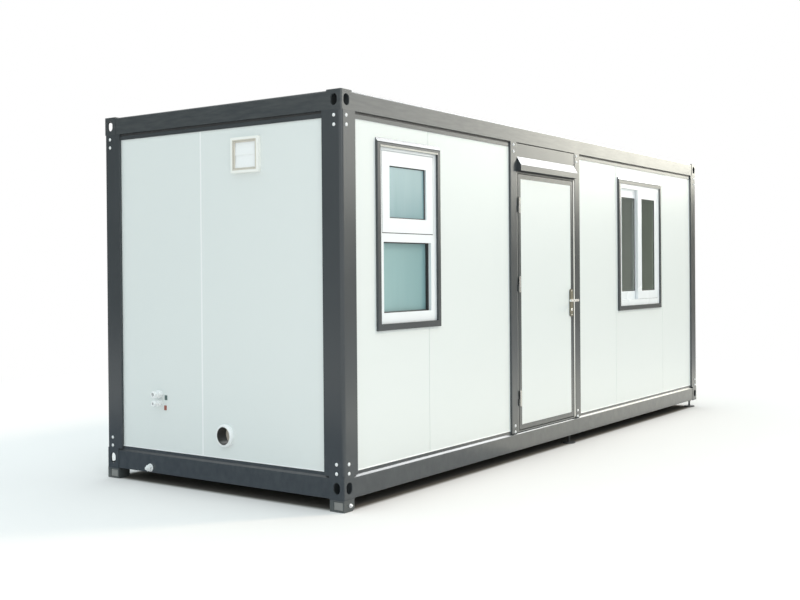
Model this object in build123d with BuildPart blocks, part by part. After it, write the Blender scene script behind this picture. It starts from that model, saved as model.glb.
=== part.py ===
from build123d import *
import os

os.makedirs("parts", exist_ok=True)

# A flat-pack portable cabin: a steel floor frame and roof frame with corner castings, four corner posts, and
# insulated wall panels held between them. The long front faces -Y and the photographed short end faces -X.

# Overall frame
cabin_length = 6055
cabin_width = 2435
foot_height = 80
frame_height = 2720
beam_setback = 3
casting_lap = 5

# Beams
floor_beam_height = 150
floor_shoulder = 15
roof_beam_height = 130
roof_shoulder = 12
base_lip_height = 20
base_lip_setback = 16
head_lip_height = 29
head_groove = 17
head_lip_setback = 12
groove_setback = 15
beam_wall = 4

# Walls
wall_setback = 18
wall_thickness = 60
panel_pitch = 1120
joint_width = 5
joint_depth = 3
end_joint = 1065
front_left_joint = 823
front_right_joint = 772

# Corner posts and castings
post_x = 139
post_y = 174
post_wall = 4
post_round = 22
casting_x = 105
casting_y = 130
casting_wall = 12
casting_round = 10
slot_height = 78
slot_width = 57

# Feet; the pocket in the outer face of a block foot lies nearer to the cabin's front
block_foot_x = 101
block_foot_y = 126
block_foot_inset = 2
block_foot_chamfer = 18
foot_pocket_width = 80
foot_pocket_height = 56
foot_pocket_depth = 8
foot_pocket_start = 12
screw_rod = 20
screw_plate = 120
screw_plate_thickness = 12
screw_nut = 44
screw_nut_height = 14
nut_side_count = 6
screw_foot_inset = 65
middle_foot_start = 3140

# Floor, ceiling and roof
deck_thickness = 18
joist_height = 100
joist_width = 40
joist_count = 9
ceiling_thickness = 25
roof_sheet_thickness = 3
roof_sheet_drop = 58
roof_rib_height = 32
roof_rib_pitch = 245
roof_rib_top = 50
roof_rib_base = 110
corner_clearance = 1

# Doorway, measured from the left end of the frame
door_start = 2166
door_width = 992
door_post_width = 100
door_post_round = 6
door_jamb = 18
door_stop = 20
door_stop_depth = 24
door_sill = 10
leaf_gap = 8
leaf_setback = 6
leaf_thickness = 42
leaf_edge = 40
door_panel_setback = 2
header_height = 237
header_setback = 4
header_gap = 8

# Rain hood over the door
hood_top_rise = 118
hood_front_rise = 50
hood_reach = 37
hood_sheet = 3
hood_end_gap = 8

# Hinges
hinge_barrel = 18
hinge_stand = 8
hinge_height = 125
hinge_plate_width = 16
hinge_plate_thickness = 8
hinge_plate_inset = 4
hinge_gap = 0.3
lower_hinge_rise = 264
upper_hinge_drop = 262
middle_hinge_share = 0.59

# Lock plate and lever
lock_from_edge = 44
lock_width = 52
lock_height = 250
lock_thickness = 10
lock_round = 20
lever_rise = 1064
lock_rise = 1040
lever_neck = 20
lever_reach = 75
lever_thickness = 18
lever_height = 22
lever_length = 125
lever_gap = 0.3

# Windows, hung at one level below the head lip; the right one stands at a share of its wall's free length
window_head_drop = 163
window_height = 1229
surround_width = 34
surround_sill = 46
surround_thickness = 20
surround_edge = 4
window_depth = 60
glass_thickness = 6

left_window_start = 397
left_window_width = 660
left_member = 50
left_far_member = 66
left_sill_member = 75
transom_rise = 572
transom_height = 66
sash_margin = 38
sash_head_margin = 24
sash_stile = 80
sash_bottom_rail = 102
sash_top_rail = 97
sash_gap = 6
sash_gap_depth = 14
upper_glass_depth = 20
lower_glass_depth = 48

right_window_width = 948
right_window_place_share = 0.495
right_frame_stand = 6
right_member = 46
right_sill_member = 60
slide_stile = 60
meeting_stile = 92
slide_rail = 84
slide_depth = 26
slide_overlap = 84
slide_front_depth = 4
slide_track_gap = 4

# Fittings on the left wall, measured from its back corner; the vent hangs below the head lip
vent_start = 1405
vent_head_drop = 74
vent_width = 270
vent_height = 250
vent_reach = 26
vent_border = 28
vent_flap_setback = 10
vent_slat_count = 2
vent_slat_slope = 6
drain_start = 1305
drain_rise = 188
drain_outer = 140
drain_wall = 5
drain_reach = 27
inlet_start = 605
inlet_rises = (448, 382)
inlet_outers = (40, 32)
inlet_wall = 5
inlet_reach = 55
inlet_nut_height = 12
inlet_nut_lip = 7

# Planes and levels that the pieces share
front_reach = lever_reach
left_x = -cabin_length / 2 + inlet_reach / 2
right_x = left_x + cabin_length
front_y = -cabin_width / 2 + front_reach / 2
back_y = front_y + cabin_width
middle_x = (left_x + right_x) / 2
middle_y = (front_y + back_y) / 2
beam_depth = wall_setback + wall_thickness
casting_top_z = foot_height + frame_height
floor_beam_z = foot_height + casting_lap
floor_top_z = floor_beam_z + floor_beam_height
roof_top_z = casting_top_z - casting_lap
roof_beam_z = roof_top_z - roof_beam_height
head_lip_z = roof_beam_z - head_groove - head_lip_height
door_left_x = left_x + door_start
door_right_x = door_left_x + door_width
leaf_left_x = door_left_x + door_jamb + leaf_gap
leaf_right_x = door_right_x - door_jamb - leaf_gap
leaf_bottom_z = floor_top_z + door_sill + leaf_gap
door_head_z = roof_beam_z - header_height
leaf_top_z = door_head_z - door_jamb - leaf_gap
window_top_z = head_lip_z - window_head_drop
window_bottom_z = window_top_z - window_height

# Each corner: its outer X face and inward direction, then its outer Y face and inward direction
corners = {
    "front_left": (left_x, 1, front_y, 1),
    "front_right": (right_x, -1, front_y, 1),
    "back_left": (left_x, 1, back_y, -1),
    "back_right": (right_x, -1, back_y, -1),
}


def front_plane(setback):
    """Plane of the front elevation that far behind the front face; inward is a negative extrusion."""
    return Plane.XZ.offset(-(front_y + setback))


def back_plane(setback):
    """Plane of the back elevation that far inside the frame's back face; inward is a positive extrusion."""
    return Plane.XZ.offset(-(back_y - setback))


def left_plane(setback):
    """Plane of the left end that far inside the frame's end face; inward is a positive extrusion."""
    return Plane.YZ.offset(left_x + setback)


def right_plane(setback):
    """Plane of the right end that far inside the frame's end face; inward is a negative extrusion."""
    return Plane.YZ.offset(right_x - setback)


def area(u0, u1, v0, v1, mode=Mode.ADD):
    """Rectangle between two corners of the current sketch."""
    with Locations(((u0 + u1) / 2, (v0 + v1) / 2)):
        Rectangle(u1 - u0, v1 - v0, mode=mode)


def outline(*points):
    """Closed face through the points of the current sketch."""
    Polygon(*points, align=None)


def finish(piece, name):
    """Names a piece and writes it out."""
    piece.part.label = name
    export_step(piece.part, f"parts/{name}.step")


def floor_section(face, inward):
    """Floor beam section: a hollow folded box whose upper outer edge is bent to a sloping shoulder."""
    outer = face + inward * beam_setback
    inner = face + inward * beam_depth
    outline((outer, floor_beam_z), (inner, floor_beam_z), (inner, floor_top_z), (outer, floor_top_z))
    shoulder = [v for v in section.vertices() if v.Y > floor_beam_z and abs(v.X - outer) < beam_setback]
    chamfer(shoulder, floor_shoulder)
    offset(amount=-beam_wall, mode=Mode.SUBTRACT)


def base_lip(face, inward):
    """Upstand that holds the foot of the wall panels."""
    near = face + inward * base_lip_setback
    far = face + inward * wall_setback
    area(min(near, far), max(near, far), floor_top_z - beam_wall, floor_top_z + base_lip_height)


def roof_section(face, inward):
    """Roof beam section: a hollow folded box with a rolled upper edge."""
    outer = face + inward * beam_setback
    inner = face + inward * beam_depth
    outline((outer, roof_beam_z), (inner, roof_beam_z), (inner, roof_top_z), (outer, roof_top_z))
    shoulder = [v for v in section.vertices() if v.Y > roof_beam_z and abs(v.X - outer) < beam_setback]
    fillet(shoulder, roof_shoulder)
    offset(amount=-beam_wall, mode=Mode.SUBTRACT)


def head_lip(face, inward):
    """Groove and lip under the roof beam that hold the head of the wall panels."""
    lip = face + inward * head_lip_setback
    groove = face + inward * groove_setback
    far = face + inward * wall_setback
    groove_z = head_lip_z + head_lip_height
    outline((far, head_lip_z), (lip, head_lip_z), (lip, groove_z), (groove, groove_z), (groove, roof_beam_z),
            (far, roof_beam_z))


# Stretches of the long walls that carry lips: the front is broken by the doorway
front_left_x0 = left_x + post_x
front_left_x1 = door_left_x - door_post_width
front_right_x0 = door_right_x + door_post_width
front_right_x1 = right_x - post_x
long_faces = (
    (front_y, 1, ((front_left_x0, front_left_x1), (front_right_x0, front_right_x1))),
    (back_y, -1, ((left_x + post_x, right_x - post_x),)),
)
short_faces = ((left_x, 1), (right_x, -1))
long_beam = cabin_length - 2 * casting_x
short_beam = cabin_width - 2 * casting_y
short_lip = cabin_width - 2 * post_y

with BuildPart() as floor_beams:
    for face, inward, stretches in long_faces:
        with BuildSketch(Plane.YZ.offset(left_x + casting_x)) as section:
            floor_section(face, inward)
        extrude(amount=long_beam)
        for start, end in stretches:
            with BuildSketch(Plane.YZ.offset(start)):
                base_lip(face, inward)
            extrude(amount=end - start)
    for face, inward in short_faces:
        with BuildSketch(Plane.XZ.offset(-(front_y + casting_y))) as section:
            floor_section(face, inward)
        extrude(amount=-short_beam)
        with BuildSketch(Plane.XZ.offset(-(front_y + post_y))):
            base_lip(face, inward)
        extrude(amount=-short_lip)
finish(floor_beams, "floor_beams")

with BuildPart() as roof_beams:
    for face, inward, stretches in long_faces:
        with BuildSketch(Plane.YZ.offset(left_x + casting_x)) as section:
            roof_section(face, inward)
        extrude(amount=long_beam)
        for start, end in stretches:
            with BuildSketch(Plane.YZ.offset(start)):
                head_lip(face, inward)
            extrude(amount=end - start)
    for face, inward in short_faces:
        with BuildSketch(Plane.XZ.offset(-(front_y + casting_y))) as section:
            roof_section(face, inward)
        extrude(amount=-short_beam)
        with BuildSketch(Plane.XZ.offset(-(front_y + post_y))):
            head_lip(face, inward)
        extrude(amount=-short_lip)
finish(roof_beams, "roof_beams")

# Hollow corner castings with an upright slot in each outer face and a rounded outer edge
casting_levels = {"bottom": (foot_height, floor_top_z), "top": (roof_beam_z, casting_top_z)}
for corner, (x_face, x_in, y_face, y_in) in corners.items():
    x_mid = x_face + x_in * casting_x / 2
    y_mid = y_face + y_in * casting_y / 2
    for level, (z0, z1) in casting_levels.items():
        with BuildPart() as casting:
            with BuildSketch(Plane.XY.offset(z0)) as section:
                with Locations((x_mid, y_mid)):
                    Rectangle(casting_x, casting_y)
                fillet(section.vertices().sort_by_distance((x_face, y_face))[0], casting_round)
            extrude(amount=z1 - z0)
            with BuildSketch(Plane.XY.offset(z0 + casting_wall)):
                with Locations((x_mid, y_mid)):
                    Rectangle(casting_x - 2 * casting_wall, casting_y - 2 * casting_wall)
            extrude(amount=z1 - z0 - 2 * casting_wall, mode=Mode.SUBTRACT)
            with BuildSketch(Plane.YZ.offset(x_face)):
                with Locations((y_mid, (z0 + z1) / 2)):
                    SlotOverall(slot_height, slot_width, rotation=90)
            extrude(amount=x_in * casting_x / 2, mode=Mode.SUBTRACT)
            with BuildSketch(Plane.XZ.offset(-y_face)):
                with Locations((x_mid, (z0 + z1) / 2)):
                    SlotOverall(slot_height, slot_width, rotation=90)
            extrude(amount=-y_in * casting_y / 2, mode=Mode.SUBTRACT)
        finish(casting, f"{level}_casting_{corner}")

# Corner posts: hollow folded columns with a rounded outer edge
for corner, (x_face, x_in, y_face, y_in) in corners.items():
    x_mid = x_face + x_in * post_x / 2
    y_mid = y_face + y_in * post_y / 2
    with BuildPart() as post:
        with BuildSketch(Plane.XY.offset(floor_top_z)) as section:
            with Locations((x_mid, y_mid)):
                Rectangle(post_x, post_y)
            fillet(section.vertices().sort_by_distance((x_face, y_face))[0], post_round)
            offset(amount=-post_wall, mode=Mode.SUBTRACT)
        extrude(amount=roof_beam_z - floor_top_z)
    finish(post, f"corner_post_{corner}")

# Block feet under the left corners, with one lower edge cut back and a pocket in the outer face
with BuildPart() as block_feet:
    for corner in ("front_left", "back_left"):
        x_face, x_in, y_face, y_in = corners[corner]
        x_near = x_face + x_in * block_foot_inset
        x_far = x_near + x_in * block_foot_x
        y_near = y_face + y_in * block_foot_inset
        with BuildSketch(Plane.XZ.offset(-y_near)):
            outline((x_near, 0), (x_far - x_in * block_foot_chamfer, 0), (x_far, block_foot_chamfer),
                    (x_far, foot_height), (x_near, foot_height))
        extrude(amount=-y_in * block_foot_y)
        pocket_y0 = min(y_near, y_near + y_in * block_foot_y) + foot_pocket_start
        pocket_z0 = (foot_height - foot_pocket_height) / 2
        with BuildSketch(Plane.YZ.offset(x_near)):
            area(pocket_y0, pocket_y0 + foot_pocket_width, pocket_z0, pocket_z0 + foot_pocket_height)
        extrude(amount=x_in * foot_pocket_depth, mode=Mode.SUBTRACT)
finish(block_feet, "block_feet")

# Screw feet under the right corners and part way along the long sides: plate, threaded rod and nut
screw_places = []
for x, z_top in ((right_x - screw_foot_inset, foot_height), (left_x + middle_foot_start, floor_beam_z)):
    for y in (front_y + screw_foot_inset, back_y - screw_foot_inset):
        screw_places.append((x, y, z_top))
with BuildPart() as screw_feet:
    for x, y, z_top in screw_places:
        with BuildSketch():
            with Locations((x, y)):
                Circle(screw_plate / 2)
        extrude(amount=screw_plate_thickness)
        with BuildSketch(Plane.XY.offset(screw_plate_thickness)):
            with Locations((x, y)):
                Circle(screw_rod / 2)
        extrude(amount=z_top - screw_plate_thickness)
        with BuildSketch(Plane.XY.offset(z_top - screw_nut_height)):
            with Locations((x, y)):
                RegularPolygon(screw_nut / 2, nut_side_count)
        extrude(amount=screw_nut_height)
finish(screw_feet, "screw_feet")

# Floor deck on its joists, between the floor beams and cut round the castings
room_x0 = left_x + beam_depth
room_x1 = right_x - beam_depth
room_y0 = front_y + beam_depth
room_y1 = back_y - beam_depth


def corner_notches(z0, z1):
    """Cuts the castings' footprint out of a sheet's corners."""
    for x_face, x_in, y_face, y_in in corners.values():
        with Locations((x_face, y_face, (z0 + z1) / 2)):
            Box(2 * (casting_x + corner_clearance), 2 * (casting_y + corner_clearance), z1 - z0,
                mode=Mode.SUBTRACT)


joist_spacing = (room_x1 - room_x0 - 2 * (casting_x - beam_depth) - 2 * joist_width) / (joist_count - 1)
deck_z = floor_top_z - deck_thickness
with BuildPart() as floor_deck:
    with BuildSketch(Plane.XY.offset(deck_z)):
        area(room_x0, room_x1, room_y0, room_y1)
    extrude(amount=deck_thickness)
    with BuildSketch(Plane.XY.offset(deck_z - joist_height)):
        with Locations((middle_x, middle_y)):
            with GridLocations(joist_spacing, 0, joist_count, 1):
                Rectangle(joist_width, room_y1 - room_y0)
    extrude(amount=joist_height)
    corner_notches(deck_z - joist_height, floor_top_z)
finish(floor_deck, "floor_deck")

# Ceiling between the roof beams
with BuildPart() as ceiling:
    with BuildSketch(Plane.XY.offset(roof_beam_z)):
        area(room_x0, room_x1, room_y0, room_y1)
    extrude(amount=ceiling_thickness)
    corner_notches(roof_beam_z, roof_beam_z + ceiling_thickness)
finish(ceiling, "ceiling")

# Ribbed roof sheet between the roof beams, its ribs across the cabin
roof_sheet_z = roof_top_z - roof_sheet_drop
rib_count = int((room_x1 - room_x0 - roof_rib_base) / roof_rib_pitch)
rib_start = middle_x - (rib_count - 1) * roof_rib_pitch / 2
sheet_line = [(room_x0, roof_sheet_z)]
for rib in range(rib_count):
    centre = rib_start + rib * roof_rib_pitch
    sheet_line.append((centre - roof_rib_base / 2, roof_sheet_z))
    sheet_line.append((centre - roof_rib_top / 2, roof_sheet_z + roof_rib_height))
    sheet_line.append((centre + roof_rib_top / 2, roof_sheet_z + roof_rib_height))
    sheet_line.append((centre + roof_rib_base / 2, roof_sheet_z))
sheet_line.append((room_x1, roof_sheet_z))
sheet_under = [(x, z - roof_sheet_thickness) for x, z in reversed(sheet_line)]
with BuildPart() as roof_sheet:
    with BuildSketch(Plane.XZ.offset(-room_y0)):
        outline(*sheet_line, *sheet_under)
    extrude(amount=-(room_y1 - room_y0))
    corner_notches(roof_sheet_z - roof_sheet_thickness, roof_sheet_z + roof_rib_height)
finish(roof_sheet, "roof_sheet")

# Walls of insulated panels with a shallow joint groove between panels
wall_height = roof_beam_z - floor_top_z
wall_middle_z = (floor_top_z + roof_beam_z) / 2
with BuildPart() as left_wall:
    with BuildSketch(left_plane(wall_setback)):
        area(front_y + post_y, back_y - post_y, floor_top_z, roof_beam_z)
        with Locations((back_y - drain_start, floor_top_z + drain_rise)):
            Circle(drain_outer / 2, mode=Mode.SUBTRACT)
    extrude(amount=wall_thickness)
    with BuildSketch(left_plane(wall_setback)):
        with Locations((back_y - end_joint, wall_middle_z)):
            Rectangle(joint_width, wall_height)
    extrude(amount=joint_depth, mode=Mode.SUBTRACT)
finish(left_wall, "left_wall")

with BuildPart() as right_wall:
    with BuildSketch(right_plane(wall_setback)):
        area(front_y + post_y, back_y - post_y, floor_top_z, roof_beam_z)
    extrude(amount=-wall_thickness)
    with BuildSketch(right_plane(wall_setback)):
        with Locations((back_y - end_joint, wall_middle_z)):
            Rectangle(joint_width, wall_height)
    extrude(amount=-joint_depth, mode=Mode.SUBTRACT)
finish(right_wall, "right_wall")

back_joints = int((cabin_length - 2 * post_x) / panel_pitch)
with BuildPart() as back_wall:
    with BuildSketch(back_plane(wall_setback)):
        area(left_x + post_x, right_x - post_x, floor_top_z, roof_beam_z)
    extrude(amount=wall_thickness)
    with BuildSketch(back_plane(wall_setback)):
        for joint in range(1, back_joints):
            with Locations((left_x + post_x + joint * panel_pitch, wall_middle_z)):
                Rectangle(joint_width, wall_height)
    extrude(amount=joint_depth, mode=Mode.SUBTRACT)
finish(back_wall, "back_wall")

left_window_x0 = left_x + left_window_start
left_window_x1 = left_window_x0 + left_window_width
right_free = front_right_x1 - front_right_x0 - right_window_width
right_window_x0 = front_right_x0 + right_free * right_window_place_share
right_window_x1 = right_window_x0 + right_window_width
right_joint_x = front_right_x0 + front_right_joint
front_walls = {
    "front_wall_left": (front_left_x0, front_left_x1, left_window_x0, left_window_x1,
                        (front_left_x0 + front_left_joint,)),
    "front_wall_right": (front_right_x0, front_right_x1, right_window_x0, right_window_x1,
                         (right_joint_x, right_joint_x + panel_pitch)),
}
for name, (x0, x1, hole_x0, hole_x1, joints) in front_walls.items():
    with BuildPart() as front_wall:
        with BuildSketch(front_plane(wall_setback)):
            area(x0, x1, floor_top_z, roof_beam_z)
            area(hole_x0, hole_x1, window_bottom_z, window_top_z, mode=Mode.SUBTRACT)
        extrude(amount=-wall_thickness)
        with BuildSketch(front_plane(wall_setback)):
            for joint_x in joints:
                with Locations((joint_x, wall_middle_z)):
                    Rectangle(joint_width, wall_height)
        extrude(amount=-joint_depth, mode=Mode.SUBTRACT)
    finish(front_wall, name)

# Door posts, header and rain hood
door_posts = {
    "door_post_left": (front_left_x1, door_left_x),
    "door_post_right": (door_right_x, front_right_x0),
}
for name, (x0, x1) in door_posts.items():
    with BuildPart() as door_post:
        with BuildSketch(Plane.XY.offset(floor_top_z)) as section:
            area(x0, x1, front_y, front_y + beam_depth)
            fillet(section.vertices().group_by(Axis.Y)[0], door_post_round)
            offset(amount=-post_wall, mode=Mode.SUBTRACT)
        extrude(amount=wall_height)
    finish(door_post, name)

with BuildPart() as door_header:
    with BuildSketch(front_plane(header_setback)):
        area(door_left_x, door_right_x, door_head_z, roof_beam_z - header_gap)
    extrude(amount=-(beam_depth - header_setback))
finish(door_header, "door_header")

hood_top_z = door_head_z + hood_top_rise
hood_front_z = door_head_z + hood_front_rise
hood_bottom_z = door_head_z
hood_wall_y = front_y + header_setback
hood_front_y = front_y - hood_reach
hood_inner_y = hood_front_y + hood_sheet
hood_x0 = door_left_x + hood_end_gap
hood_x1 = door_right_x - hood_end_gap
with BuildPart() as rain_hood:
    with BuildSketch(Plane.YZ.offset(hood_x0)):
        outline((hood_wall_y, hood_top_z), (hood_front_y, hood_front_z), (hood_front_y, hood_bottom_z),
                (hood_inner_y, hood_bottom_z), (hood_inner_y, hood_front_z - hood_sheet),
                (hood_wall_y, hood_top_z - 2 * hood_sheet))
    extrude(amount=hood_x1 - hood_x0)
    for start in (hood_x0, hood_x1 - hood_sheet):
        with BuildSketch(Plane.YZ.offset(start)):
            outline((hood_wall_y, hood_top_z), (hood_front_y, hood_front_z), (hood_front_y, hood_bottom_z),
                    (hood_wall_y, hood_bottom_z))
        extrude(amount=hood_sheet)
finish(rain_hood, "rain_hood")

# Door frame: a ring round the leaf with a stop behind it
stop_setback = beam_depth - door_stop_depth
with BuildPart() as door_frame:
    with BuildSketch(front_plane(leaf_setback)):
        area(door_left_x, door_right_x, floor_top_z, door_head_z)
        area(door_left_x + door_jamb, door_right_x - door_jamb, floor_top_z + door_sill,
             door_head_z - door_jamb, mode=Mode.SUBTRACT)
    extrude(amount=-(beam_depth - leaf_setback))
    with BuildSketch(front_plane(stop_setback)):
        area(door_left_x, door_right_x, floor_top_z, door_head_z)
        area(door_left_x + door_jamb + door_stop, door_right_x - door_jamb - door_stop,
             floor_top_z + door_sill + door_stop, door_head_z - door_jamb - door_stop, mode=Mode.SUBTRACT)
    extrude(amount=-door_stop_depth)
finish(door_frame, "door_frame")

# Door leaf: an edge frame round a flush panel
leaf_panel = (leaf_left_x + leaf_edge, leaf_right_x - leaf_edge, leaf_bottom_z + leaf_edge,
              leaf_top_z - leaf_edge)
with BuildPart() as door_edge:
    with BuildSketch(front_plane(leaf_setback)):
        area(leaf_left_x, leaf_right_x, leaf_bottom_z, leaf_top_z)
        area(*leaf_panel, mode=Mode.SUBTRACT)
    extrude(amount=-leaf_thickness)
finish(door_edge, "door_edge")

with BuildPart() as door_panel:
    with BuildSketch(front_plane(leaf_setback + door_panel_setback)):
        area(*leaf_panel)
    extrude(amount=-(leaf_thickness - 2 * door_panel_setback))
finish(door_panel, "door_panel")

# Lift-off hinges: the lower knuckle stands on a plate on the jamb, the upper one on a plate on the leaf
hinge_x = door_left_x + door_jamb + leaf_gap / 2
hinge_y = front_y - hinge_stand
knuckle = (hinge_height - hinge_gap) / 2
leaf_face_y = front_y + leaf_setback
plate_y = leaf_face_y - hinge_plate_thickness
jamb_plate = (door_left_x + door_jamb - hinge_plate_width, door_left_x + door_jamb)
leaf_plate = (leaf_left_x, leaf_left_x + hinge_plate_width)
lower_hinge_z = leaf_bottom_z + lower_hinge_rise
upper_hinge_z = leaf_top_z - upper_hinge_drop
middle_hinge_z = lower_hinge_z + (upper_hinge_z - lower_hinge_z) * middle_hinge_share
hinge_halves = {
    "hinges": (-hinge_height / 2, jamb_plate),
    "door_hinge_leaves": (hinge_gap / 2, leaf_plate),
}
for name, (start, (plate_x0, plate_x1)) in hinge_halves.items():
    with BuildPart() as hinge_half:
        for hinge_middle_z in (lower_hinge_z, middle_hinge_z, upper_hinge_z):
            hinge_z = hinge_middle_z + start
            with BuildSketch(Plane.XY.offset(hinge_z)):
                with Locations((hinge_x, hinge_y)):
                    Circle(hinge_barrel / 2)
            extrude(amount=knuckle)
            with BuildSketch(Plane.XY.offset(hinge_z + hinge_plate_inset)):
                area(plate_x0, plate_x1, plate_y, leaf_face_y)
                area(min(hinge_x, plate_x0), max(hinge_x, plate_x1), hinge_y, plate_y)
            extrude(amount=knuckle - 2 * hinge_plate_inset)
    finish(hinge_half, name)

# Lock plate and lever on the free side of the leaf
lock_x = leaf_right_x - lock_from_edge
lock_face_y = front_y + leaf_setback - lock_thickness
with BuildPart() as lock_plate:
    with BuildSketch(front_plane(leaf_setback)):
        with Locations((lock_x, leaf_bottom_z + lock_rise)):
            RectangleRounded(lock_width, lock_height, lock_round)
    extrude(amount=lock_thickness)
finish(lock_plate, "lock_plate")

lever_z = leaf_bottom_z + lever_rise
lever_front_y = front_y - lever_reach
with BuildPart() as lever:
    with BuildSketch(Plane.XZ.offset(-(lock_face_y - lever_gap))):
        with Locations((lock_x, lever_z)):
            Circle(lever_neck / 2)
    extrude(amount=lock_face_y - lever_gap - lever_front_y)
    with BuildSketch(Plane.XZ.offset(-(lever_front_y + lever_thickness))):
        with Locations((lock_x - lever_length / 2, lever_z)):
            SlotOverall(lever_length + lever_height, lever_height)
    extrude(amount=lever_thickness)
finish(lever, "lever")

# Window surrounds: trims that stand out from the wall panels, with a deeper member under the sill
windows = {
    "left_window": (left_window_x0, left_window_x1),
    "right_window": (right_window_x0, right_window_x1),
}
for name, (x0, x1) in windows.items():
    with BuildPart() as surround:
        with BuildSketch(front_plane(wall_setback)):
            area(x0 - surround_width, x1 + surround_width, window_bottom_z - surround_sill,
                 window_top_z + surround_width)
            area(x0, x1, window_bottom_z, window_top_z, mode=Mode.SUBTRACT)
        extrude(amount=surround_thickness)
        chamfer(surround.faces().sort_by(Axis.Y)[0].outer_wire().edges(), surround_edge)
    finish(surround, f"{name}_surround")

# Left window: a fixed lower light and a top-hung sash over a transom, with a gap round the sash
transom_z = window_bottom_z + transom_rise
sash_x0 = left_window_x0 + sash_margin
sash_x1 = left_window_x1 - sash_margin
sash_z0 = transom_z + transom_height
sash_z1 = window_top_z - sash_head_margin
upper_glass = (sash_x0 + sash_stile, sash_x1 - sash_stile, sash_z0 + sash_bottom_rail,
               sash_z1 - sash_top_rail)
lower_glass = (left_window_x0 + left_member, left_window_x1 - left_far_member,
               window_bottom_z + left_sill_member, transom_z)
with BuildPart() as left_frame:
    with BuildSketch(front_plane(wall_setback)):
        area(left_window_x0, left_window_x1, window_bottom_z, window_top_z)
        area(*lower_glass, mode=Mode.SUBTRACT)
        area(*upper_glass, mode=Mode.SUBTRACT)
    extrude(amount=-window_depth)
    with BuildSketch(front_plane(wall_setback)):
        area(sash_x0 - sash_gap, sash_x1 + sash_gap, sash_z0 - sash_gap, sash_z1 + sash_gap)
        area(sash_x0, sash_x1, sash_z0, sash_z1, mode=Mode.SUBTRACT)
    extrude(amount=-sash_gap_depth, mode=Mode.SUBTRACT)
finish(left_frame, "left_window_frame")

left_panes = {
    "left_window_upper_glass": (upper_glass, upper_glass_depth),
    "left_window_lower_glass": (lower_glass, lower_glass_depth),
}
for name, (edges, depth) in left_panes.items():
    with BuildPart() as pane:
        with BuildSketch(front_plane(wall_setback + depth)):
            area(*edges)
        extrude(amount=-glass_thickness)
    finish(pane, name)

# Right window: a frame a little proud of the wall, and two sliding sashes that meet at their wide stiles,
# the right one in the outer track
slide_x0 = right_window_x0 + right_member
slide_x1 = right_window_x1 - right_member
slide_z0 = window_bottom_z + right_sill_member
slide_z1 = window_top_z - right_member
slide_middle = (slide_x0 + slide_x1) / 2
right_frame_setback = wall_setback - right_frame_stand
slide_front_setback = right_frame_setback + slide_front_depth
slide_back_setback = slide_front_setback + slide_depth + slide_track_gap
pane_z0 = slide_z0 + slide_rail
pane_z1 = slide_z1 - slide_rail
inner_sash = (slide_x0, slide_middle + slide_overlap / 2)
outer_sash = (slide_middle - slide_overlap / 2, slide_x1)
inner_pane = (inner_sash[0] + slide_stile, inner_sash[1] - meeting_stile)
outer_pane = (outer_sash[0] + meeting_stile, outer_sash[1] - slide_stile)
sashes = {
    "right_window_inner_glass": (inner_sash, inner_pane, slide_back_setback),
    "right_window_outer_glass": (outer_sash, outer_pane, slide_front_setback),
}
with BuildPart() as right_frame:
    with BuildSketch(front_plane(right_frame_setback)):
        area(right_window_x0, right_window_x1, window_bottom_z, window_top_z)
        area(slide_x0, slide_x1, slide_z0, slide_z1, mode=Mode.SUBTRACT)
    extrude(amount=-(window_depth + right_frame_stand))
    for sash, pane_sides, setback in sashes.values():
        with BuildSketch(front_plane(setback)):
            area(*sash, slide_z0, slide_z1)
            area(*pane_sides, pane_z0, pane_z1, mode=Mode.SUBTRACT)
        extrude(amount=-slide_depth)
finish(right_frame, "right_window_frame")

for name, (sash, pane_sides, setback) in sashes.items():
    with BuildPart() as pane:
        with BuildSketch(front_plane(setback + (slide_depth - glass_thickness) / 2)):
            area(*pane_sides, pane_z0, pane_z1)
        extrude(amount=-glass_thickness)
    finish(pane, name)

# Vent on the left wall: a square frame with sloping slats in it
vent_y1 = back_y - vent_start
vent_y0 = vent_y1 - vent_width
vent_z1 = head_lip_z - vent_head_drop
vent_z0 = vent_z1 - vent_height
with BuildPart() as vent_frame:
    with BuildSketch(left_plane(wall_setback)):
        area(vent_y0, vent_y1, vent_z0, vent_z1)
        area(vent_y0 + vent_border, vent_y1 - vent_border, vent_z0 + vent_border, vent_z1 - vent_border,
             mode=Mode.SUBTRACT)
    extrude(amount=-vent_reach)
finish(vent_frame, "vent_frame")

slat_height = (vent_height - 2 * vent_border) / vent_slat_count
slat_wall_x = left_x + wall_setback
slat_front_x = slat_wall_x - (vent_reach - vent_flap_setback)
with BuildPart() as vent_flap:
    with BuildSketch(Plane.XZ.offset(-(vent_y0 + vent_border))):
        for slat in range(vent_slat_count):
            slat_z0 = vent_z0 + vent_border + slat * slat_height
            outline((slat_wall_x, slat_z0), (slat_wall_x, slat_z0 + slat_height),
                    (slat_front_x + vent_slat_slope, slat_z0 + slat_height), (slat_front_x, slat_z0))
    extrude(amount=-(vent_width - 2 * vent_border))
finish(vent_flap, "vent_flap")

# Drain stub through the left wall
with BuildPart() as drain_stub:
    with BuildSketch(left_plane(beam_depth)):
        with Locations((back_y - drain_start, floor_top_z + drain_rise)):
            Circle(drain_outer / 2)
            Circle(drain_outer / 2 - drain_wall, mode=Mode.SUBTRACT)
    extrude(amount=-(wall_thickness + drain_reach))
finish(drain_stub, "drain_stub")

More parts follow.
